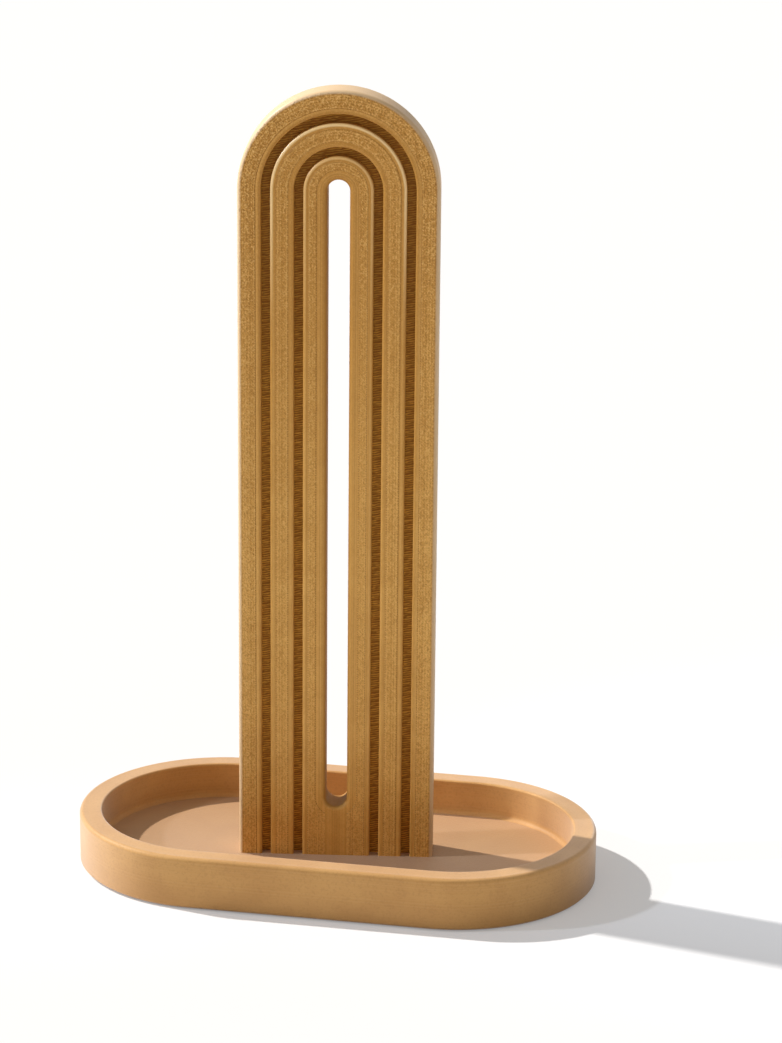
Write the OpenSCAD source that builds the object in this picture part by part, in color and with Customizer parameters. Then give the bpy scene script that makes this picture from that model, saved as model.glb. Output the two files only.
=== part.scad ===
// Hair tie holder: a grooved arch that turns on an oval tray.
// Millimetres. +Z is up, the tray's length runs along X, and the front faces -Y.
// The origin is the middle of the footprint, on the surface that the pads stand on.

/* [Upright] */
// Width of each raised band of the arch
band_w = 8; // [5:0.5:9.5]
// Width of each groove between two bands
groove_w = 3.1; // [2:0.1:5]
// Depth of each groove, the same on the front and the back
groove_d = 3.5; // [1:0.1:4.5]
// Number of raised bands on each side of the slot
bands = 3; // [1:1:3]
// Width of the open slot up the middle
slot_w = 7.6; // [5:0.2:12]
// Thickness of the upright, front to back
upright_t = 12.4; // [11.6:0.2:18]
// Height of the whole object, from the surface to the top of the arch
overall_h = 278; // [200:1:320]
// Rounding of the outer edges and of the slot's edges
edge_r = 1.5; // [0.4:0.1:2]
// Rounding of the edges of the grooves
groove_edge_r = 0.7; // [0.1:0.1:1]
// Solid height left between the screw's hole and the slot
foot_cap = 4.5; // [2:0.5:30]
// Turn of the upright on the tray, counter-clockwise from above
turn = 9; // [-180:1:180]

/* [Tray] */
// Length of the tray
tray_len = 184; // [160:1:240]
// Width of the tray, which the turning upright and the rim may widen
tray_w = 100; // [80:1:140]
// Least gap between the rim and the corners of the upright as it turns
turn_gap = 4; // [2:0.2:8]
// Height of the top of the rim above the surface
rim_top = 19; // [14:0.5:40]
// Width of the rim
rim_w = 8; // [4:0.5:12]
// Rounding of the rim's outer edge
rim_out_r = 1.5; // [0.5:0.1:3]
// Rounding of the rim's inner edge
rim_in_r = 0.8; // [0.3:0.1:2]
// Cove where the inside of the wall meets the floor
cove_r = 2; // [0.5:0.1:4]
// Chamfer round the bottom edge
base_chamfer = 0.8; // [0.2:0.1:1]

/* [Pivot] */
// Diameter of the pivot screw's thread
screw_d = 4; // [3:0.5:5]
// Length of the screw under its head
screw_len = 16; // [14:1:25]
// Diameter of the screw's head
head_d = 8; // [7:0.5:9]
// Height of the screw's head
head_h = 2.6; // [2:0.1:3.5]
// Width across the flats of the head's socket
socket_af = 2.5; // [2:0.5:3]
// Depth of the head's socket
socket_depth = 1.5; // [1:0.1:1.8]
// Depth of the head below the tray's underside
head_recess = 0.3; // [0.1:0.1:1]
// Width of the washer's ring
washer_ring = 2.35; // [1.5:0.05:3]
// Thickness of the washer
washer_t = 0.8; // [0.5:0.1:1.2]
// Floor left above the washer
web_t = 2.3; // [1.5:0.1:5]
// Wall of the boss that the upright turns on
boss_wall = 1.9; // [1.2:0.1:2.2]
// Height of the boss above the tray's floor
boss_h = 3; // [2:0.5:5]
// Wall of the threaded insert
insert_wall = 0.8; // [0.6:0.1:1.4]
// Length of the threaded insert
insert_len = 8; // [5:0.5:8]

/* [Pads] */
// Diameter of each non-slip pad
pad_d = 14; // [8:0.5:18]
// Thickness of each pad
pad_t = 1.6; // [1.2:0.1:2.4]
// Height by which each pad stands out of its recess
pad_proud = 0.5; // [0.3:0.1:1]
// Distance of each pad's middle from the tray's edge
pad_inset = 17; // [14:0.5:24]

/* [Hidden] */
$fn = 96;

printed_tan = "#b98a4f";
printed_base = "#bc8e58";

run_gap = 0.08;      // radial clearance of the turning fits
room = 0.3;          // clearance round a part that only has to go in
thread_gap = 0.02;   // radial gap that stands for the thread's flanks
over = 1;            // overlap of a cut or a joined piece past a face

// Upright, seen from the middle outwards
upright_hw = slot_w / 2 + bands * band_w + (bands - 1) * groove_w;
turn_radius = norm([upright_hw, upright_t / 2]);
arch_z = overall_h - upright_hw;

// Tray
end_r = max(tray_w / 2, turn_radius + turn_gap + rim_w);
inner_r = end_r - rim_w;
straight = tray_len - 2 * end_r;
tray_z = pad_proud;
pocket_h = head_recess + head_h + washer_t;
floor_t = pocket_h + web_t;
floor_z = tray_z + floor_t;

// Pivot, from the underside upwards
head_z = tray_z + head_recess;
shank_z = head_z + head_h;
screw_top = shank_z + screw_len;
washer_id = screw_d + 2 * room / 2;
washer_d = washer_id + 2 * washer_ring;
pocket_d = max(head_d, washer_d) + 2 * room;
bore_d = screw_d + 2 * run_gap;
boss_d = bore_d + 2 * boss_wall;
boss_top = floor_z + boss_h;
socket_top = boss_top + room;
insert_d = screw_d + 2 * insert_wall;
hole_top = max(screw_top, socket_top + insert_len) + 2 * room;
slot_low = hole_top + foot_cap;
slot_end_z = slot_low + slot_w / 2;

// Cuts the corner at the origin of a shape that lies towards +X +Y, to a radius
module round_cut(r) {
    difference() {
        translate([-over, -over]) square(r + over);
        translate([r, r]) circle(r);
    }
}

// The same for a corner at any place, whose shape lies towards sx, sy
module corner_cut(at, r, sx, sy) {
    translate(at)
        mirror([sx < 0 ? 1 : 0, 0])
            mirror([0, sy < 0 ? 1 : 0])
                round_cut(r);
}

// Section of one groove, open towards +Y, with its upper face at y = 0
module groove_section() {
    translate([0, -groove_d]) square([groove_w, groove_d + over]);
    corner_cut([groove_w, 0], groove_edge_r, 1, -1);
    corner_cut([0, 0], groove_edge_r, -1, -1);
}

// Section through one side of the upright: X is the distance from the middle
module band_section() {
    difference() {
        translate([slot_w / 2, -upright_t / 2])
            square([upright_hw - slot_w / 2, upright_t]);
        for (flip = [0, 1]) mirror([0, flip]) {
            corner_cut([slot_w / 2, upright_t / 2], edge_r, 1, -1);
            corner_cut([upright_hw, upright_t / 2], edge_r, -1, -1);
            for (i = [1:1:bands - 1])
                translate([slot_w / 2 + i * band_w + (i - 1) * groove_w, upright_t / 2])
                    groove_section();
        }
    }
}

// Section of the rounded lip round the slot's lower end
module lip_section() {
    difference() {
        translate([slot_w / 2, -upright_t / 2])
            square([edge_r + over, upright_t]);
        for (flip = [0, 1]) mirror([0, flip])
            corner_cut([slot_w / 2, upright_t / 2], edge_r, 1, -1);
    }
}

// Solid foot that joins the two inner bands below the slot
module foot_block() {
    half_w = slot_w / 2 + edge_r + over / 2;
    difference() {
        translate([-half_w, -upright_t / 2, floor_z])
            cube([2 * half_w, upright_t, slot_end_z - floor_z]);
        translate([0, 0, slot_end_z])
            rotate([90, 0, 0])
                cylinder(h = upright_t + 2 * over, r = slot_w / 2 + edge_r, center = true);
    }
    translate([0, 0, slot_end_z])
        rotate([90, 180, 0])
            rotate_extrude(angle = 180) lip_section();
}

// Arch with its two legs, standing on the tray's floor
module upright() {
    color(printed_tan)
    rotate([0, 0, turn])
    difference() {
        union() {
            for (side = [0, 1]) mirror([side, 0, 0])
                translate([0, 0, floor_z])
                    linear_extrude(arch_z - floor_z) band_section();
            translate([0, 0, arch_z])
                rotate([90, 0, 0])
                    rotate_extrude(angle = 180) band_section();
            foot_block();
        }
        translate([0, 0, floor_z - over])
            cylinder(h = socket_top - floor_z + over, d = boss_d + 2 * run_gap);
        translate([0, 0, socket_top - over])
            cylinder(h = insert_len + over, d = insert_d);
        translate([0, 0, socket_top])
            cylinder(h = hole_top - socket_top, d = screw_d + room);
    }
}

// Plan of the tray, or of a line that runs at one distance inside its edge
module stadium(r) {
    for (side = [-1, 1]) translate([side * straight / 2, 0]) circle(r);
    square([straight, 2 * r], center = true);
}

// Section through the tray's wall: X is the distance from the end's middle
module wall_section() {
    difference() {
        translate([inner_r, tray_z]) square([rim_w, rim_top - tray_z]);
        corner_cut([end_r, rim_top], rim_out_r, -1, -1);
        corner_cut([inner_r, rim_top], rim_in_r, 1, -1);
        translate([end_r, tray_z])
            polygon([[-base_chamfer, 0], [0, base_chamfer], [over, base_chamfer],
                     [over, -over], [-base_chamfer, -over]]);
    }
    translate([inner_r - cove_r, floor_z])
        difference() {
            translate([0, -over]) square([cove_r + over, cove_r + over]);
            translate([0, cove_r]) circle(cove_r);
        }
}

// Places a copy of its child at each pad
module at_pads() {
    reach = (end_r - pad_inset) / sqrt(2);
    for (sx = [-1, 1], sy = [-1, 1])
        translate([sx * (straight / 2 + reach), sy * reach, 0]) children();
}

// Oval tray with its rim, the boss that the upright turns on, and the screw's pocket
module tray() {
    color(printed_base)
    difference() {
        union() {
            for (side = [0, 1]) mirror([side, 0, 0])
                translate([straight / 2, 0, 0])
                    rotate([0, 0, -90])
                        rotate_extrude(angle = 180) wall_section();
            for (side = [0, 1]) mirror([0, side, 0])
                translate([-straight / 2, 0, 0])
                    rotate([90, 0, 90])
                        linear_extrude(straight) wall_section();
            translate([0, 0, tray_z]) linear_extrude(floor_t) stadium(inner_r + over);
            translate([0, 0, floor_z - over]) cylinder(h = boss_h + over, d = boss_d);
        }
        translate([0, 0, tray_z - over]) cylinder(h = pocket_h + over, d = pocket_d);
        translate([0, 0, tray_z]) cylinder(h = boss_top - tray_z + over, d = bore_d);
        at_pads() translate([0, 0, tray_z - over])
            cylinder(h = pad_t - pad_proud + over, d = pad_d + room);
    }
}

// Brass insert set in the foot, with a groove between its two gripping bands
module threaded_insert() {
    groove_h = insert_len / 5;
    color("#c8a24a")
    translate([0, 0, socket_top])
        difference() {
            cylinder(h = insert_len, d = insert_d);
            translate([0, 0, (insert_len - groove_h) / 2])
                difference() {
                    cylinder(h = groove_h, d = insert_d + over);
                    translate([0, 0, -over])
                        cylinder(h = groove_h + 2 * over, d = insert_d - insert_wall);
                }
            translate([0, 0, -over])
                cylinder(h = insert_len + 2 * over, d = screw_d + 2 * thread_gap);
        }
}

// Pan-head screw, fitted from below
module pivot_screw() {
    tip = screw_d / 8;
    head_round = head_h * 0.6;
    color("#a9acb0")
    difference() {
        rotate_extrude() {
            difference() {
                translate([0, head_z]) square([head_d / 2, head_h]);
                corner_cut([head_d / 2, head_z], head_round, -1, 1);
            }
            translate([0, shank_z - over])
                polygon([[0, 0], [screw_d / 2, 0], [screw_d / 2, screw_len + over - tip],
                         [screw_d / 2 - tip, screw_len + over], [0, screw_len + over]]);
        }
        translate([0, 0, head_z - over])
            cylinder(h = socket_depth + over, d = socket_af / cos(30), $fn = 6);
    }
}

// Flat washer between the screw's head and the tray
module washer() {
    color("#b6b8bb")
    translate([0, 0, shank_z])
        difference() {
            cylinder(h = washer_t, d = washer_d);
            translate([0, 0, -over]) cylinder(h = washer_t + 2 * over, d = washer_id);
        }
}

// Four round non-slip pads, each in its own recess under the tray
module foot_pads() {
    pad_round = pad_proud * 0.6;
    color("#3a3733")
    at_pads() rotate_extrude()
        difference() {
            square([pad_d / 2, pad_t]);
            corner_cut([pad_d / 2, 0], pad_round, -1, 1);
        }
}

tray();
upright();
threaded_insert();
pivot_screw();
washer();
foot_pads();
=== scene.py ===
# %% [markdown]
# # A hair tie holder, dressed for its portrait
#
# The holder is two printed pieces: an oval tray, and a tall arch with two grooves that turns on it.
# Both were printed in a wood-coloured filament, so what makes them look real is the trace of the printer:
# outline passes along every edge, diagonal filling between them, and stacked layers on every wall.
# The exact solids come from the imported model. Here each printed piece is built again with those traces.

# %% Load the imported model
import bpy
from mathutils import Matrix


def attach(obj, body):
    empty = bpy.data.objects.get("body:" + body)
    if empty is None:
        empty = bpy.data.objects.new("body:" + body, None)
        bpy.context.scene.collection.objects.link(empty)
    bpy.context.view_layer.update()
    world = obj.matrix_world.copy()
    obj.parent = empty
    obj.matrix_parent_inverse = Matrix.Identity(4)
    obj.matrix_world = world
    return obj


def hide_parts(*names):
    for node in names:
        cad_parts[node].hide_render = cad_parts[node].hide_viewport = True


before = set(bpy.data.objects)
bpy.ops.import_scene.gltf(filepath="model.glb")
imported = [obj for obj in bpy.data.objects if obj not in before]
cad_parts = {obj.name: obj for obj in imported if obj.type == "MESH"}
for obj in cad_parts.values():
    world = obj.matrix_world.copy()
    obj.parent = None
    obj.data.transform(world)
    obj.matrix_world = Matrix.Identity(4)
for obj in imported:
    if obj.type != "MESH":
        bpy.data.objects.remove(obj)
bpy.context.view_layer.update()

# %% [markdown]
# The sizes are written once, in millimetres, the way a maker would read them off a drawing.
# Blender works in metres, so MM turns one into the other when a point is placed.

# %% Sizes of the arch
import math
import bpy
import bmesh
from mathutils import Vector

MM = 0.001
SLOT_HALF = 3.8
BAND = 8.0
GROOVE = 3.1
GROOVE_DEEP = 3.5
ARCH_HALF = 34.0
HALF_THICK = 6.2
EDGE_R = 1.5
GROOVE_R = 0.7
SOCKET_R = 4.06
SOCKET_Z = 9.8
INSERT_R = 2.8
INSERT_Z = 17.8
TIP_R = 2.15
TIP_Z = 20.0
ARCH_Z = 244.0
SLOT_END_Z = 28.3
FLOOR_Z = 6.5
TURN = math.radians(9.0)

# %% Sizes of the tray and of the pivot
END_X = 42.0
END_R = 50.0
RIM_W = 8.0
UNDERSIDE_Z = 0.5
RIM_Z = 19.0
RIM_OUT_R = 1.5
RIM_IN_R = 0.8
COVE_R = 2.0
CHAMFER = 0.8
PAD_INSET = 17.0
PAD_HOLE_R = 7.15
PAD_HOLE_TOP = 1.6
BOSS_R = 3.98
BOSS_Z = 9.5
BORE_R = 2.08
POCKET_R = 4.8
POCKET_Z = 4.2

# %% [markdown]
# ## The camera
#
# The camera stands a little to the right of the holder and looks down on it by about seventeen degrees.
# Its place and lens come from matching the straight grooves, the round arch and the oval rim at once.
# A long lens keeps the arch's sides nearly parallel, so it is well over a metre away.

# %% Camera
camera_data = bpy.data.cameras.new("portrait_camera")
camera_data.sensor_fit = "VERTICAL"
camera_data.sensor_height = 36.0
camera_data.lens = 121.9
camera = bpy.data.objects.new("portrait_camera", camera_data)
camera.location = (0.24175, -1.13723, 0.48102)
camera.rotation_euler = [math.radians(a) for a in (73.0886, -0.4989, 11.2542)]
bpy.context.scene.collection.objects.link(camera)
bpy.context.scene.camera = camera
bpy.context.scene.view_settings.view_transform = "Standard"
print("camera is", round(camera.location.length, 2), "m from the middle of the tray")

# %% [markdown]
# ## Shader maths that reads like maths
#
# A material is a graph of nodes, and a graph is hard to read as code.
# Wire stands for one output of a node, and adding or multiplying two wires adds the Math node that does it.
# Bench is the workbench of one material: its node method makes any other node in one line.

# %% Wire and Bench
class Wire:
    def __init__(self, bench, socket):
        self.bench = bench
        self.socket = socket

    def _do(self, operation, *values):
        return self.bench.node("ShaderNodeMath", {"operation": operation}, dict(enumerate(values)))

    def __add__(self, other):
        return self._do("ADD", self, other)

    def __sub__(self, other):
        return self._do("SUBTRACT", self, other)

    def __rsub__(self, other):
        return self._do("SUBTRACT", other, self)

    def __mul__(self, other):
        return self._do("MULTIPLY", self, other)

    def __truediv__(self, other):
        return self._do("DIVIDE", self, other)

    def __pow__(self, other):
        return self._do("POWER", self, other)

    def __abs__(self):
        return self._do("ABSOLUTE", self)

    def __gt__(self, other):
        return self._do("GREATER_THAN", self, other)

    def __lt__(self, other):
        return self._do("LESS_THAN", self, other)

    def __mod__(self, other):
        return self._do("FLOORED_MODULO", self, other)

    def at_least(self, other):
        return self._do("MAXIMUM", self, other)

    def at_most(self, other):
        return self._do("MINIMUM", self, other)

    def angle_from(self, other):
        return self._do("ARCTAN2", self, other)

    def wave(self, length):
        return self._do("SINE", self * (2 * math.pi / length))

    def ramp(self, low, high):
        return self.bench.node("ShaderNodeMapRange", {"clamp": True, "interpolation_type": "SMOOTHSTEP"},
                               {0: self, 1: low, 2: high})

    __radd__ = __add__
    __rmul__ = __mul__


class Bench:
    def __init__(self, owner):
        self.material = owner
        owner.use_nodes = True
        self.tree = owner.node_tree
        self.tree.nodes.clear()

    def node(self, kind, settings=None, values=None, out=0):
        made = self.tree.nodes.new(kind)
        for key, value in (settings or {}).items():
            setattr(made, key, value)
        for key, value in (values or {}).items():
            if isinstance(value, Wire):
                self.tree.links.new(value.socket, made.inputs[key])
            else:
                made.inputs[key].default_value = value
        if isinstance(out, tuple):
            return [Wire(self, made.outputs[o]) for o in out]
        return Wire(self, made.outputs[out])

    def blend(self, mask, low, high):
        return self.node("ShaderNodeMix", {"data_type": "RGBA"}, {0: mask, 6: low, 7: high}, out=2)

    def millimetres(self, vector):
        return [axis * 1000 for axis in self.node("ShaderNodeSeparateXYZ", None, {0: vector}, out=(0, 1, 2))]

    def noise(self, place, size_mm, detail=2.0, stretch=(1, 1, 1)):
        spot = self.node("ShaderNodeMapping", None, {"Vector": place, "Scale": stretch})
        return self.node("ShaderNodeTexNoise", None,
                         {"Vector": spot, "Scale": 1 / (size_mm * MM), "Detail": detail})

    def tone_along(self, distance_mm, per_mm):
        return self.node("ShaderNodeTexNoise", {"noise_dimensions": "1D"},
                         {"W": distance_mm, "Scale": per_mm, "Detail": 1.0})

    def finish(self, colour, roughness, height_mm, **constants):
        values = {"Base Color": colour, "Roughness": roughness}
        values.update({key.replace("_", " "): value for key, value in constants.items()})
        values["Normal"] = self.node("ShaderNodeBump", None, {"Height": height_mm * MM, "Distance": 1.0})
        shader = self.node("ShaderNodeBsdfPrincipled", None, values)
        self.node("ShaderNodeOutputMaterial", None, {"Surface": shader}, out=())
        print(self.material.name, "has", len(self.tree.nodes), "nodes")
        return self.material


def new_bench(name):
    return Bench(bpy.data.materials.new(name))


print("Wire and Bench are ready")

# %% [markdown]
# ## Floor and light
#
# The floor is one wide pale sheet. The camera sees it partly as plain white, through Is Camera Ray, so that
# the background stays white while the holder still lays its shadow on it.
# A low sun from the left, a little behind the arch, lights the left end of the tray and the top of the arch.
# Two narrow, slightly cool lamps come from the left, a little in front. One grazes the arch's shoulder and
# picks out its raised edges, and the other softens the turn from light to shade round the tray's left end.
# The sky is an even soft white, and the floor throws light back on the front, as it does in a real studio.

# %% Floor
def white_for_camera(name, colour, share):
    bench = new_bench(name)
    camera_ray = bench.node("ShaderNodeLightPath", out="Is Camera Ray")
    paint = bench.node("ShaderNodeBsdfDiffuse", None, {"Color": colour})
    glow = bench.node("ShaderNodeEmission", None, {"Color": (1, 1, 1, 1), "Strength": 1.0})
    both = bench.node("ShaderNodeMixShader", None, {0: camera_ray * share, 1: paint, 2: glow})
    bench.node("ShaderNodeOutputMaterial", None, {"Surface": both}, out=())
    return bench.material


floor_mesh = bpy.data.meshes.new("studio_floor")
floor_mesh.from_pydata([(-6, -6, 0), (6, -6, 0), (6, 6, 0), (-6, 6, 0)], [], [(0, 1, 2, 3)])
floor = bpy.data.objects.new("studio_floor", floor_mesh)
floor.data.materials.append(white_for_camera("pale_floor", (0.88, 0.88, 0.89, 1), 0.25))
bpy.context.scene.collection.objects.link(floor)
print("floor is", floor.dimensions.x, "m across")

# %% Sky and sun
world = bpy.data.worlds.new("soft_sky")
bpy.context.scene.world = world
sky = Bench(world)
path_bits = sky.node("ShaderNodeLightPath", out=("Is Camera Ray", "Is Glossy Ray", "Is Transmission Ray"))
seen = path_bits[0].at_least(path_bits[1]).at_least(path_bits[2])
SKY = 0.34
SUN = 4.0
sky_colour = sky.blend(seen, (1.0, 0.975, 0.95, 1), (1, 1, 1, 1))
backdrop = sky.node("ShaderNodeBackground", None, {"Color": sky_colour, "Strength": seen * (1 - SKY) + SKY})
sky.node("ShaderNodeOutputWorld", None, {"Surface": backdrop}, out=())

SUN_FROM = Vector((-0.738, 0.165, 0.654))
SPOT_FROM = Vector((-0.825, -0.271, 0.495))
SPOT_FAR = 2.0
SPOT_COLOUR = (0.90, 0.98, 1.12)


def lamp(kind, name, energy, colour, comes_from, at=(0, 0, 1)):
    data = bpy.data.lights.new(name, kind)
    data.energy = energy
    data.color = colour
    made = bpy.data.objects.new(name, data)
    made.location = at
    made.rotation_euler = (-comes_from).to_track_quat("-Z", "Y").to_euler()
    bpy.context.scene.collection.objects.link(made)
    return data


def spot_lamp(name, energy, aim, reach):
    data = lamp("SPOT", name, energy, SPOT_COLOUR, SPOT_FROM, aim + SPOT_FAR * SPOT_FROM)
    data.spot_size = 2 * math.atan(reach / SPOT_FAR)
    data.spot_blend = 1.0
    data.shadow_soft_size = 0.05


lamp("SUN", "low_sun", SUN, (1.0, 0.975, 0.935), SUN_FROM).angle = math.radians(1.5)
spot_lamp("shoulder_lamp", 120.0, Vector((-0.030, 0.0, 0.225)), 0.19)
spot_lamp("end_lamp", 45.0, Vector((-0.075, -0.020, 0.010)), 0.085)
print("sun stands", round(math.degrees(math.asin(SUN_FROM.normalized().z))), "degrees high")

# %% [markdown]
# ## How a printed surface is drawn
#
# The printer lays soft plastic in passes 0.45 mm wide and layers 0.2 mm high. Each pass ends up slightly
# domed, with a fine valley beside it. A section of the piece is drawn as an outline whose points dip into
# those valleys, and is then swept along the piece. The valleys are real geometry, so any close-up shows them.

# %% Outline with passes and layers
PASS_W = 0.45
LAYER_H = 0.2
PASS_DIP = 0.014
LAYER_DIP = 0.02
PASSES = 3


def dip(t, deep):
    return deep * (1 - math.sin(math.pi * (t % 1.0)))


def line_points(a, b, inward, pitch, deep, steps, run=None):
    a, b, inward = Vector(a), Vector(b), Vector(inward)
    length = (b - a).length
    count = max(1, round(length / pitch))
    pitch = length / count
    keep = count if run is None else run
    points = []
    for i in range(count):
        if keep <= i < count - keep:
            continue
        for s in range(steps):
            along = (i + s / steps) * pitch
            points.append(a + (b - a) * (along / length) + inward * dip(s / steps, deep))
        if i == keep - 1 and keep < count - keep:
            points.append(a + (b - a) * ((i + 1) * pitch / length))
    return [tuple(p) for p in points]


def arc_points(centre, radius, start, end, steps):
    angles = [math.radians(start + (end - start) * s / steps) for s in range(steps)]
    return [(centre[0] + radius * math.cos(q), centre[1] + radius * math.sin(q)) for q in angles]


print(PASSES, "passes take", PASSES * PASS_W, "mm along an edge")

# %% [markdown]
# ## The arch
#
# One side of the arch, cut across, is three raised bands with two grooves between them, the same front and
# back. The first number of a point is its distance from the middle of the slot, and the second is its depth.
# The walk starts beside the slot on the front face, goes out to the edge, round it, and back along the back.
# Grooves cut into a block would give the same shape, but a walk along the section also lays down every pass.

# %% Section of one side of the arch
def face_walk():
    points = []
    starts = [SLOT_HALF + k * (BAND + GROOVE) for k in range(3)]
    for k, start in enumerate(starts):
        left = start + (EDGE_R if k == 0 else GROOVE_R)
        right = start + BAND - (EDGE_R if k == 2 else GROOVE_R)
        points += line_points((left, -HALF_THICK), (right, -HALF_THICK), (0, 1),
                              PASS_W, PASS_DIP, 5, run=PASSES)
        if k < 2:
            edge, far = start + BAND, start + BAND + GROOVE
            low = -HALF_THICK + GROOVE_DEEP
            points += arc_points((edge - GROOVE_R, -HALF_THICK + GROOVE_R), GROOVE_R, -90, 0, 4)
            points += [(edge, -HALF_THICK + GROOVE_R), (edge, low), (far, low)]
            points += arc_points((far + GROOVE_R, -HALF_THICK + GROOVE_R), GROOVE_R, 180, 270, 4)
    return points


def side_section():
    front = face_walk()
    edge_c = ARCH_HALF - EDGE_R
    front += arc_points((edge_c, -HALF_THICK + EDGE_R), EDGE_R, -90, 0, 8)
    side = line_points((ARCH_HALF, -HALF_THICK + EDGE_R), (ARCH_HALF, HALF_THICK - EDGE_R),
                       (-1, 0), LAYER_H, LAYER_DIP, 4)
    back = [(d, -v) for d, v in reversed(front)]
    return front + side + [(ARCH_HALF, HALF_THICK - EDGE_R)] + back[:-1] + [(SLOT_HALF + EDGE_R, HALF_THICK)]


def lip_section():
    front = arc_points((SLOT_HALF + EDGE_R, -HALF_THICK + EDGE_R), EDGE_R, -90, -180, 8)
    wall = line_points((SLOT_HALF, -HALF_THICK + EDGE_R), (SLOT_HALF, HALF_THICK - EDGE_R),
                       (1, 0), LAYER_H, LAYER_DIP, 4)
    back = [(d, -v) for d, v in reversed(front)]
    return front + wall + [(SLOT_HALF, HALF_THICK - EDGE_R)] + back


outer, lip = side_section(), lip_section()
print("side section has", len(outer), "points, the slot's lip", len(lip))

# %% [markdown]
# The section travels up the left leg, round the arch and down the right leg. Each stop on the way is a place
# and a direction, so one function turns a point of the section into a point in space.
# The slot's lip travels the same way, and then also round the slot's lower end.

# %% Stops along the arch
LIP = SLOT_HALF + EDGE_R
ARC_STEPS = 80
LOW_STEPS = 24
STRAIGHT_STEPS = 6


def upright_point(u, v, z):
    return Vector((u * math.cos(TURN) - v * math.sin(TURN), u * math.sin(TURN) + v * math.cos(TURN), z)) * MM


def lip_ring(bm, depth, height=None):
    return [bm.verts.new(upright_point(LIP * cu, depth, z + LIP * cz if height is None else height))
            for cu, cz, z in low_stops]


leg_heights = [SLOT_END_Z + (ARCH_Z - SLOT_END_Z) * k / STRAIGHT_STEPS for k in range(STRAIGHT_STEPS)]
stops = [(-1, 0, z) for z in [FLOOR_Z] + leg_heights]
stops += [(math.cos(q), math.sin(q), ARCH_Z) for q in
          [math.pi * (1 - k / ARC_STEPS) for k in range(ARC_STEPS + 1)]]
stops += [(1, 0, z) for z in reversed([FLOOR_Z] + leg_heights)]
low_stops = [(math.cos(q), math.sin(q), SLOT_END_Z) for q in
             [-math.pi * k / LOW_STEPS for k in range(1, LOW_STEPS)]]


def swept(bm, section, along):
    return [[bm.verts.new(upright_point(d * cu, v, z + d * cz)) for d, v in section] for cu, cz, z in along]


def skin(bm, rows, closed=False):
    pairs = list(zip(rows, rows[1:] + rows[:1])) if closed else list(zip(rows, rows[1:]))
    for one, two in pairs:
        for j in range(len(one) - 1):
            bm.faces.new((one[j], one[j + 1], two[j + 1], two[j]))


print(len(stops), "stops along the arch,", len(low_stops), "round the slot's lower end")

# %% Arch, slot and foot in one closed mesh
arch_bm = bmesh.new()
rows = swept(arch_bm, outer, stops)
skin(arch_bm, rows)
lip_rows = swept(arch_bm, lip[1:], stops[1:-1] + low_stops)
low_front, low_back = lip_ring(arch_bm, -HALF_THICK), lip_ring(arch_bm, HALF_THICK)
joint_front = [row[0] for row in rows[1:-1]] + low_front
joint_back = [row[-1] for row in rows[1:-1]] + low_back
lip_loop = [[b] + list(reversed(inner)) + [a] for a, inner, b in zip(joint_front, lip_rows, joint_back)]
skin(arch_bm, lip_loop, closed=True)


def foot_face(upper, row_right, row_left, depth, flip):
    low = lip_ring(arch_bm, depth, FLOOR_Z)
    top = [row_right[0]] + upper + [row_left[0]]
    base = [row_right[1]] + low + [row_left[1]]
    for k in range(len(top) - 1):
        quad = (top[k], top[k + 1], base[k + 1], base[k])
        arch_bm.faces.new(quad if flip else tuple(reversed(quad)))


foot_face(low_front, (rows[-2][0], rows[-1][0]), (rows[1][0], rows[0][0]), -HALF_THICK, True)
foot_face(low_back, (rows[-2][-1], rows[-1][-1]), (rows[1][-1], rows[0][-1]), HALF_THICK, False)
print("arch mesh has", len(arch_bm.faces), "faces before its underside is closed")

# %% [markdown]
# The foot stands on the tray, and a round socket in it sits over the tray's boss. Above the socket a narrower
# hole holds the brass insert. Holes like these are turned shapes: a list of radii and heights spun round the
# pivot. The flat underside is whatever lies between the outline and the first circle, and Blender fills that.

# %% Turned holes and flat fills
RING_STEPS = 64
SHARP = math.radians(40)


def ring(bm, radius, z, at):
    return [bm.verts.new(Vector((at[0] + radius * math.cos(2 * math.pi * k / RING_STEPS),
                                 at[1] + radius * math.sin(2 * math.pi * k / RING_STEPS), z)) * MM)
            for k in range(RING_STEPS)]


def join(bm, one, two):
    for k in range(len(one)):
        n = (k + 1) % len(one)
        bm.faces.new((one[k], one[n], two[n], two[k]))


def turned(bm, profile, at=(0, 0), cap=False):
    rings = [ring(bm, r, z, at) for r, z in profile]
    for one, two in zip(rings, rings[1:]):
        join(bm, one, two)
    if cap:
        bm.faces.new(rings[-1])


def fill_flat(bm, height):
    edges = [e for e in bm.edges if len(e.link_faces) <= 1
             and all(abs(v.co.z - height * MM) < 1e-7 for v in e.verts)]
    bmesh.ops.triangle_fill(bm, use_beauty=True, edges=edges)
    return len(edges)


def to_object(bm, name):
    bmesh.ops.recalc_face_normals(bm, faces=bm.faces)
    open_edges = sum(1 for e in bm.edges if len(e.link_faces) != 2)
    mesh = bpy.data.meshes.new(name)
    bm.to_mesh(mesh)
    bm.free()
    mesh.polygons.foreach_set("use_smooth", [True] * len(mesh.polygons))
    mesh.set_sharp_from_angle(angle=SHARP)
    made = bpy.data.objects.new(name, mesh)
    bpy.context.scene.collection.objects.link(made)
    print(name, "has", len(mesh.polygons), "faces and", open_edges, "open edges")
    return made


turned(arch_bm, [(SOCKET_R, FLOOR_Z), (SOCKET_R, SOCKET_Z), (INSERT_R, SOCKET_Z), (INSERT_R, INSERT_Z),
                 (TIP_R, INSERT_Z), (TIP_R, TIP_Z)], cap=True)
print("edges round the underside:", fill_flat(arch_bm, FLOOR_Z))

# %% Arch as an object
arch = to_object(arch_bm, "arch_print")
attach(arch, "arch")
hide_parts("upright")

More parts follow.
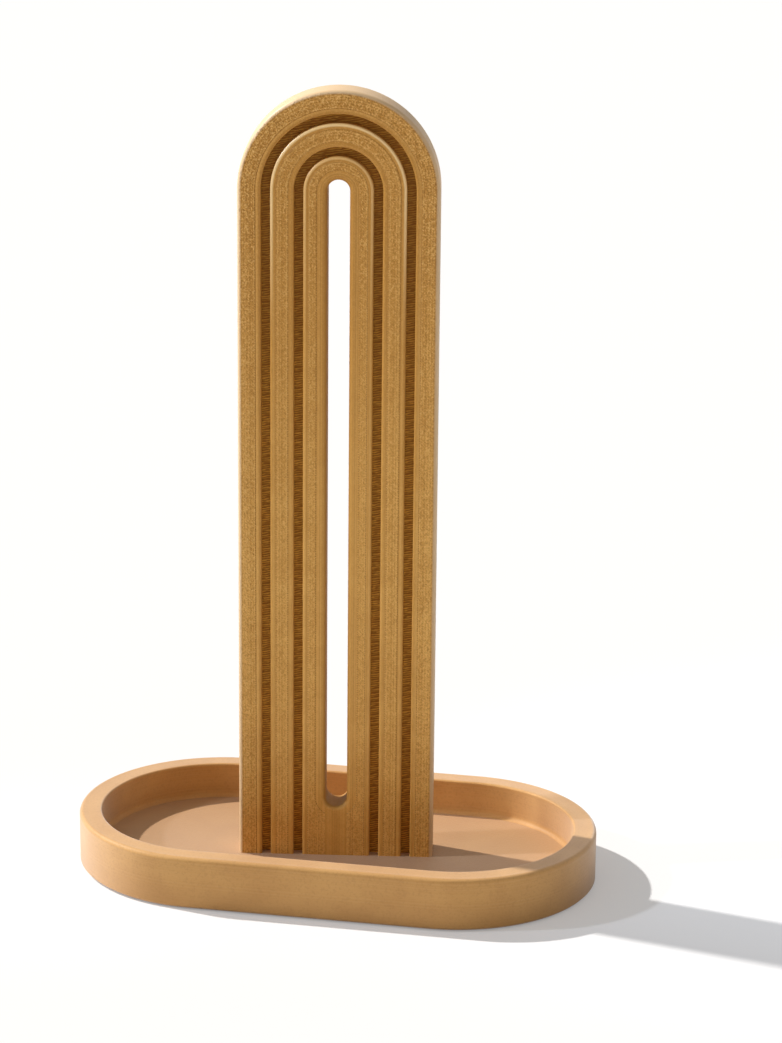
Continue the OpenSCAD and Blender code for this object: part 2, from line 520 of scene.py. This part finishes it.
# %% [markdown]
# ## The filament
#
# Wood-coloured filament is a warm tan. The flat top faces show the full colour. The arch's outer side is
# painted paler and greyer, a painted sheen where light glances off its stacked layers, and the slot's wall is
# painted darker, as painted shade. The floors of the grooves, where the rough filling lines lie open, are
# painted dark, partly as painted shade in the recess.
# The finish works in the arch's own directions: across, depth and height. From them it finds the distance to
# the middle of the slot, which is what every band and groove follows.
# Faint rows run along every band, since no two passes have quite the same tone, and the valleys between
# passes are painted darker, as painted shade. The grain's pits are painted dark as painted shade, and its
# bright fibre specks are partly the filament's own tone and partly a painted highlight. Some of the tone goes
# by height: the top is painted darker than the legs, and its grooves darker still, as painted shade, and near
# the top the outer edges of the inner and middle bands carry a painted highlight, a pale crest over a glossy
# coat on the last pass.

# %% Colours of the arch
TAN = (0.62, 0.320, 0.070, 1)
TAN_CLOUD = (0.69, 0.370, 0.088, 1)
TAN_TOP_PAINTED_SHADE = (0.505, 0.232, 0.038, 1)
PIT_PAINTED_SHADE = (0.27, 0.110, 0.014, 1)
FIBRE_AND_PAINTED_HIGHLIGHT = (0.90, 0.57, 0.20, 1)
TURN_LINE = (0.30, 0.125, 0.018, 1)
ROW_DARK = (0.34, 0.150, 0.022, 1)
ROW_PALE = (0.88, 0.55, 0.19, 1)
VALLEY_PAINTED_SHADE = (0.36, 0.160, 0.022, 1)
CREST_PAINTED_HIGHLIGHT = (0.92, 0.64, 0.26, 1)
GROOVE_DARK_AND_PAINTED_SHADE = (0.300, 0.118, 0.006, 1)
GROOVE_PALE = (0.70, 0.350, 0.050, 1)
GROOVE_TOP_PAINTED_SHADE = (0.20, 0.062, 0.002, 1)
SLOT_PAINTED_SHADE = (0.31, 0.135, 0.020, 1)
OUTER_SIDE_PAINTED_SHEEN = (0.66, 0.47, 0.275, 1)
print("the arch's bands go from", TAN[:3], "on the legs to", TAN_TOP_PAINTED_SHADE[:3], "at the top")

# %% Finish of the arch
DIAGONAL = math.sqrt(0.5)


def arch_finish():
    bench = new_bench("arch_filament")
    place = bench.node("ShaderNodeTexCoord", out="Object")
    own = bench.node("ShaderNodeVectorRotate", {"rotation_type": "Z_AXIS"}, {"Vector": place, "Angle": -TURN})
    u, v, z = bench.millimetres(own)
    over = (z - ARCH_Z).at_least(0)
    below = (SLOT_END_Z - z).at_least(0)
    from_middle = (u * u + over * over) ** 0.5
    from_slot = (from_middle * from_middle + below * below) ** 0.5
    run = z.at_most(ARCH_Z) + from_middle * over.angle_from(abs(u))
    depth = HALF_THICK - abs(v)
    step = (from_middle - SLOT_HALF) % (BAND + GROOVE)
    groove = (step > BAND) * (from_middle > 8)
    outer_half = from_middle > ARCH_HALF - BAND / 2
    inner_band = from_middle < SLOT_HALF + BAND
    to_inner = step + inner_band * (from_slot - from_middle - EDGE_R)
    to_edge = to_inner.at_most(BAND - step + BAND * outer_half)
    face = (depth < 0.25) * (1 - groove)
    floor_mask = groove * depth.ramp(0.6, 3.3)
    side = from_middle.ramp(ARCH_HALF - EDGE_R, ARCH_HALF - EDGE_R / 2)

    fill = to_edge.ramp(1.75, 2.05) * face
    high = z.ramp(190, 250)
    outer_band = from_middle > ARCH_HALF - BAND - 1
    curly = (0.62 + 0.28 * high) * (1 + 0.3 * outer_band) * (0.7 * fill + 0.3 * face)
    grain = bench.noise(own, 0.95, 2.0)
    speck = bench.noise(own, 0.5, 1.0)
    worm = bench.noise(own, 1.2, 1.5)
    cloud = bench.noise(own, 9.0, 2.0)
    pass_tone = bench.tone_along(from_middle, 1.3)
    lines = ((u + z) * DIAGONAL).wave(PASS_W * 1.5)
    turn_line = (1 - abs(to_edge - 1.95).ramp(0.05, 0.25)) * face
    stitches = run.wave(0.85)
    outline = (1 - to_edge.ramp(1.25, 1.45)) * face
    crest = step.ramp(BAND - 1.1, BAND - 0.7) * high * (1 - groove) * (depth < 1.0)
    crest = crest * (1 - outer_band) * (1 - 0.6 * inner_band)
    height = curly * (grain * 0.30 + speck * 0.14 + abs(worm - 0.5) * 0.35) + fill * lines * 0.010
    height = height + speck * 0.012 + outline * 0.03 - turn_line * (0.5 + 0.5 * stitches) * 0.05

    tilted = bench.node("ShaderNodeVectorRotate", {"rotation_type": "Y_AXIS"}, {"Vector": own, "Angle": 0.16})
    streak = bench.noise(tilted, 0.8, 1.0, (0.3, 0.3, 1.0))
    lay = bench.node("ShaderNodeSeparateXYZ", None, {0: tilted}, out=2) * 1000
    raster = (0.5 + 0.5 * (lay + streak * 1.1).wave(0.8)) * (streak * 2.0 - 0.3)
    height = height + floor_mask * raster * 0.07

    tan = bench.blend(cloud.ramp(0.3, 0.7), TAN, TAN_CLOUD)
    # painted shade: the top of the arch is painted darker than the legs
    tan = bench.blend(z.ramp(80, 240) * 0.85, tan, TAN_TOP_PAINTED_SHADE)
    # painted shade in the grain's pits, and a painted highlight on its bright specks, which are partly the
    # filament's own tone; both grow near the top and on the outer band
    pit = (0.47 - speck).at_least(0.015 - abs(worm - 0.5)).ramp(0.0, 0.10)
    tan = bench.blend(curly * pit * 0.50, tan, PIT_PAINTED_SHADE)
    tan = bench.blend(curly * (speck - 0.53).ramp(0.0, 0.12) * 0.45, tan, FIBRE_AND_PAINTED_HIGHLIGHT)
    tan = bench.blend(turn_line * (0.5 + 0.5 * stitches) * (0.85 - 0.35 * high), tan, TURN_LINE)
    tan = bench.blend(face * (pass_tone - 0.5).ramp(0.0, 0.15) * 0.25, tan, ROW_DARK)
    tan = bench.blend(face * (0.5 - pass_tone).ramp(0.0, 0.15) * 0.18, tan, ROW_PALE)
    # painted shade in the valleys between the outline passes
    valley = abs((to_edge / PASS_W) % 1.0 - 0.5).ramp(0.34, 0.5) * outline
    tan = bench.blend(valley * 0.35, tan, VALLEY_PAINTED_SHADE)
    # painted highlight: a pale line on the outer edges of the inner and middle bands near the top, over a
    # real glossy coat
    tan = bench.blend(crest * 0.70, tan, CREST_PAINTED_HIGHLIGHT)
    # groove floors: real filling lines, painted dark as shade in the recess, and painted darker still near
    # the top as shade
    dark = bench.blend(raster.ramp(0.0, 0.9), GROOVE_DARK_AND_PAINTED_SHADE, GROOVE_PALE)
    dark = bench.blend(z.ramp(150, 245) * 0.4, dark, GROOVE_TOP_PAINTED_SHADE)
    colour = bench.blend(floor_mask, tan, dark)
    # painted shade on the slot's wall
    slot_side = 1 - from_slot.ramp(SLOT_HALF - 0.1, SLOT_HALF + EDGE_R - 0.2)
    colour = bench.blend(slot_side * 0.6, colour, SLOT_PAINTED_SHADE)
    # painted sheen: the arch's outer side is painted paler and greyer, where light glances off it
    colour = bench.blend(side * 0.9, colour, OUTER_SIDE_PAINTED_SHEEN)
    roughness = 0.36 + 0.10 * speck + 0.14 * fill + 0.3 * floor_mask + 0.2 * slot_side
    return bench.finish(colour, roughness, height, Specular_IOR_Level=0.25, Coat_Weight=crest,
                        Coat_Roughness=0.42, Coat_IOR=1.8)


arch.data.materials.append(arch_finish())

# %% [markdown]
# ## The tray
#
# The tray's section is a wall with a flat rim: a chamfer below, a rounded outer edge, a slightly softened
# inner edge, and a cove down to the floor. It travels once round the oval. The floor and the underside are
# flat fills, with the boss, the screw's pocket and the four recesses of the pads as turned shapes in them.

# %% Section and sweep of the tray
END_STEPS = 64


def tray_section():
    inner = END_R - RIM_W
    points = [(END_R - CHAMFER, UNDERSIDE_Z)]
    points += line_points((END_R, UNDERSIDE_Z + CHAMFER), (END_R, RIM_Z - RIM_OUT_R), (-1, 0),
                          LAYER_H, LAYER_DIP, 3)
    points += arc_points((END_R - RIM_OUT_R, RIM_Z - RIM_OUT_R), RIM_OUT_R, 0, 90, 8)
    points += line_points((END_R - RIM_OUT_R, RIM_Z), (inner + RIM_IN_R, RIM_Z), (0, -1),
                          PASS_W, PASS_DIP, 5, run=PASSES)
    points += arc_points((inner + RIM_IN_R, RIM_Z - RIM_IN_R), RIM_IN_R, 90, 180, 6)
    points += line_points((inner, RIM_Z - RIM_IN_R), (inner, FLOOR_Z + COVE_R), (1, 0),
                          LAYER_H, LAYER_DIP, 3)
    points += arc_points((inner - COVE_R, FLOOR_Z + COVE_R), COVE_R, 0, -90, 6)
    return points + [(inner - COVE_R, FLOOR_Z)]


tray_stops = []
for end, first in ((END_X, -90), (-END_X, 90)):
    tray_stops += [(end, math.radians(first + 180 * k / END_STEPS)) for k in range(END_STEPS + 1)]
    tray_stops += [(end - 2 * end * k / STRAIGHT_STEPS, math.radians(first + 180))
                   for k in range(1, STRAIGHT_STEPS)]
tray_bm = bmesh.new()
tray_rows = [[tray_bm.verts.new(Vector((x + d * math.cos(q), d * math.sin(q), z)) * MM)
              for d, z in tray_section()] for x, q in tray_stops]
skin(tray_bm, tray_rows, closed=True)
print("tray wall has", len(tray_bm.faces), "faces")

# %% Floor, boss, pocket and recesses
turned(tray_bm, [(BOSS_R, FLOOR_Z), (BOSS_R, BOSS_Z), (BORE_R, BOSS_Z), (BORE_R, POCKET_Z),
                 (POCKET_R, POCKET_Z), (POCKET_R, UNDERSIDE_Z)])
PAD_REACH = (END_R - PAD_INSET) / math.sqrt(2)
pad_places = [(sx * (END_X + PAD_REACH), sy * PAD_REACH) for sx in (-1, 1) for sy in (-1, 1)]
for spot in pad_places:
    turned(tray_bm, [(PAD_HOLE_R, UNDERSIDE_Z), (PAD_HOLE_R, PAD_HOLE_TOP)], at=spot, cap=True)
print("floor edges", fill_flat(tray_bm, FLOOR_Z), "underside edges", fill_flat(tray_bm, UNDERSIDE_Z))
tray = to_object(tray_bm, "tray_print")
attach(tray, "base")
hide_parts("tray")

# %% [markdown]
# The tray comes from the same filament, a shade paler and smoother. Its walls are stacked layers, each with a
# slightly different tone, and its floor is painted darker, as painted shade inside the rim, with diagonal
# filling lines. Loose fibres on the walls scatter light sideways, which the shader's sheen does well. The
# foot of the wall is a little darker, since less light reaches it.

# %% Colours and finish of the tray
TRAY_TAN = (0.555, 0.284, 0.078, 1)
TRAY_CLOUD = (0.62, 0.332, 0.098, 1)
TRAY_LAYER = (0.72, 0.44, 0.18, 1)
TRAY_GRAIN = (0.36, 0.170, 0.045, 1)
TRAY_FOOT = (0.38, 0.180, 0.046, 1)
TRAY_FLOOR_PAINTED_SHADE = (0.36, 0.17, 0.045, 1)
TRAY_SHEEN = (0.94, 0.96, 1.0, 1)


def tray_finish():
    bench = new_bench("tray_filament")
    place = bench.node("ShaderNodeTexCoord", out="Object")
    x, y, z = bench.millimetres(place)
    along = (abs(x) - END_X).at_least(0)
    from_middle = (along * along + y * y) ** 0.5
    grain = bench.noise(place, 0.8, 3.0)
    cloud = bench.noise(place, 14.0, 2.0)
    layer = bench.tone_along(z, 1.6)
    inner_wall = (from_middle < END_R - RIM_W + 0.2) * (z > FLOOR_Z + 0.1)
    wall = (from_middle > END_R - RIM_OUT_R).at_least(inner_wall)
    floor_mask = (from_middle < END_R - RIM_W - COVE_R + 0.5) * (abs(z - FLOOR_Z) < 0.4)
    lines = ((x + y) * DIAGONAL).wave(PASS_W * 1.5)
    height = grain * 0.02 + wall * layer * 0.02 + floor_mask * (lines * 0.01 + grain * 0.05)
    tan = bench.blend(cloud.ramp(0.3, 0.7), TRAY_TAN, TRAY_CLOUD)
    tan = bench.blend(wall * (layer - 0.5).ramp(-0.2, 0.3) * 0.15, tan, TRAY_LAYER)
    tan = bench.blend((grain - 0.5).ramp(0.0, 0.15) * 0.18, tan, TRAY_GRAIN)
    tan = bench.blend((1 - z.ramp(0.0, 14.0)) * wall * 0.4, tan, TRAY_FOOT)
    # painted shade: the tray's floor is painted darker inside the rim
    colour = bench.blend(floor_mask * 0.6, tan, TRAY_FLOOR_PAINTED_SHADE)
    return bench.finish(colour, 0.46 + 0.14 * grain, height, Specular_IOR_Level=0.25,
                        Sheen_Weight=0.6, Sheen_Roughness=0.5, Sheen_Tint=TRAY_SHEEN)


tray.data.materials.append(tray_finish())

# %% [markdown]
# ## The pivot's hardware and the pads
#
# The screw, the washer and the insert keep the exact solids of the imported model, and so do the pads. Their
# shapes are right already, so only the finish is new: zinc-plated steel with a faint turned grain, dull
# brass, and dark rubber with a fine pimpled texture.

# %% Metal and rubber
def metal_finish(name, colour, rough):
    bench = new_bench(name)
    place = bench.node("ShaderNodeTexCoord", out="Object")
    turned_grain = bench.noise(place, 0.5, 3.0, (1.0, 1.0, 14.0))
    stain = bench.noise(place, 2.5, 2.0)
    tone = bench.blend(stain.ramp(0.35, 0.7), (*colour, 1), (*[0.82 * c for c in colour], 1))
    return bench.finish(tone, rough + 0.18 * turned_grain, turned_grain * 0.006, Metallic=1.0)


def rubber_finish():
    bench = new_bench("dark_rubber")
    place = bench.node("ShaderNodeTexCoord", out="Object")
    pimples = bench.node("ShaderNodeTexVoronoi", None, {"Vector": place, "Scale": 1 / (0.8 * MM)})
    dust = bench.noise(place, 2.0, 3.0)
    tone = bench.blend(dust.ramp(0.4, 0.75), (0.032, 0.030, 0.028, 1), (0.075, 0.070, 0.064, 1))
    return bench.finish(tone, 0.72 + 0.12 * dust, (1 - pimples) * 0.08)


finishes = {
    "pivot_screw": metal_finish("zinc_screw", (0.62, 0.63, 0.64), 0.24),
    "washer": metal_finish("zinc_washer", (0.66, 0.67, 0.68), 0.28),
    "threaded_insert": metal_finish("dull_brass", (0.70, 0.50, 0.20), 0.30),
    "foot_pads": rubber_finish(),
}
for name, material in finishes.items():
    node = bpy.data.objects[name]
    node.data.materials.clear()
    node.data.materials.append(material)
print("dressed", ", ".join(finishes))
